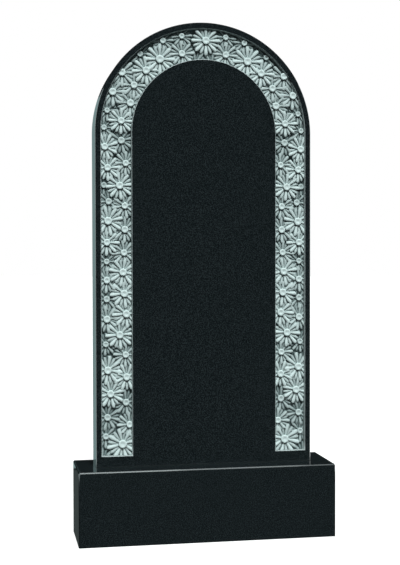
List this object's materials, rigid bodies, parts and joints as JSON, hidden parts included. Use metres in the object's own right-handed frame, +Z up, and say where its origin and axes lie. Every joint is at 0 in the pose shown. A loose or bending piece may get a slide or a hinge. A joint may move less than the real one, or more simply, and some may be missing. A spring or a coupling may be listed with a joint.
{
  "type": "headstone",
  "caption": "Round-topped upright headstone of polished black granite with a sunk band of carved daisies around a plain panel, on a rectangular plinth.",
  "frame": {"origin": "centre of the plinth's underside", "axes": "+Z up, the carved front faces -Y, +X to the right seen from the front"},
  "size_m": [0.588, 0.165, 1.1745],
  "materials": {
    "polished_granite": "polished"
  },
  "bodies": {
    "root": {"headstone": "polished_granite", "plinth": "polished_granite"}
  },
  "joints": []
}
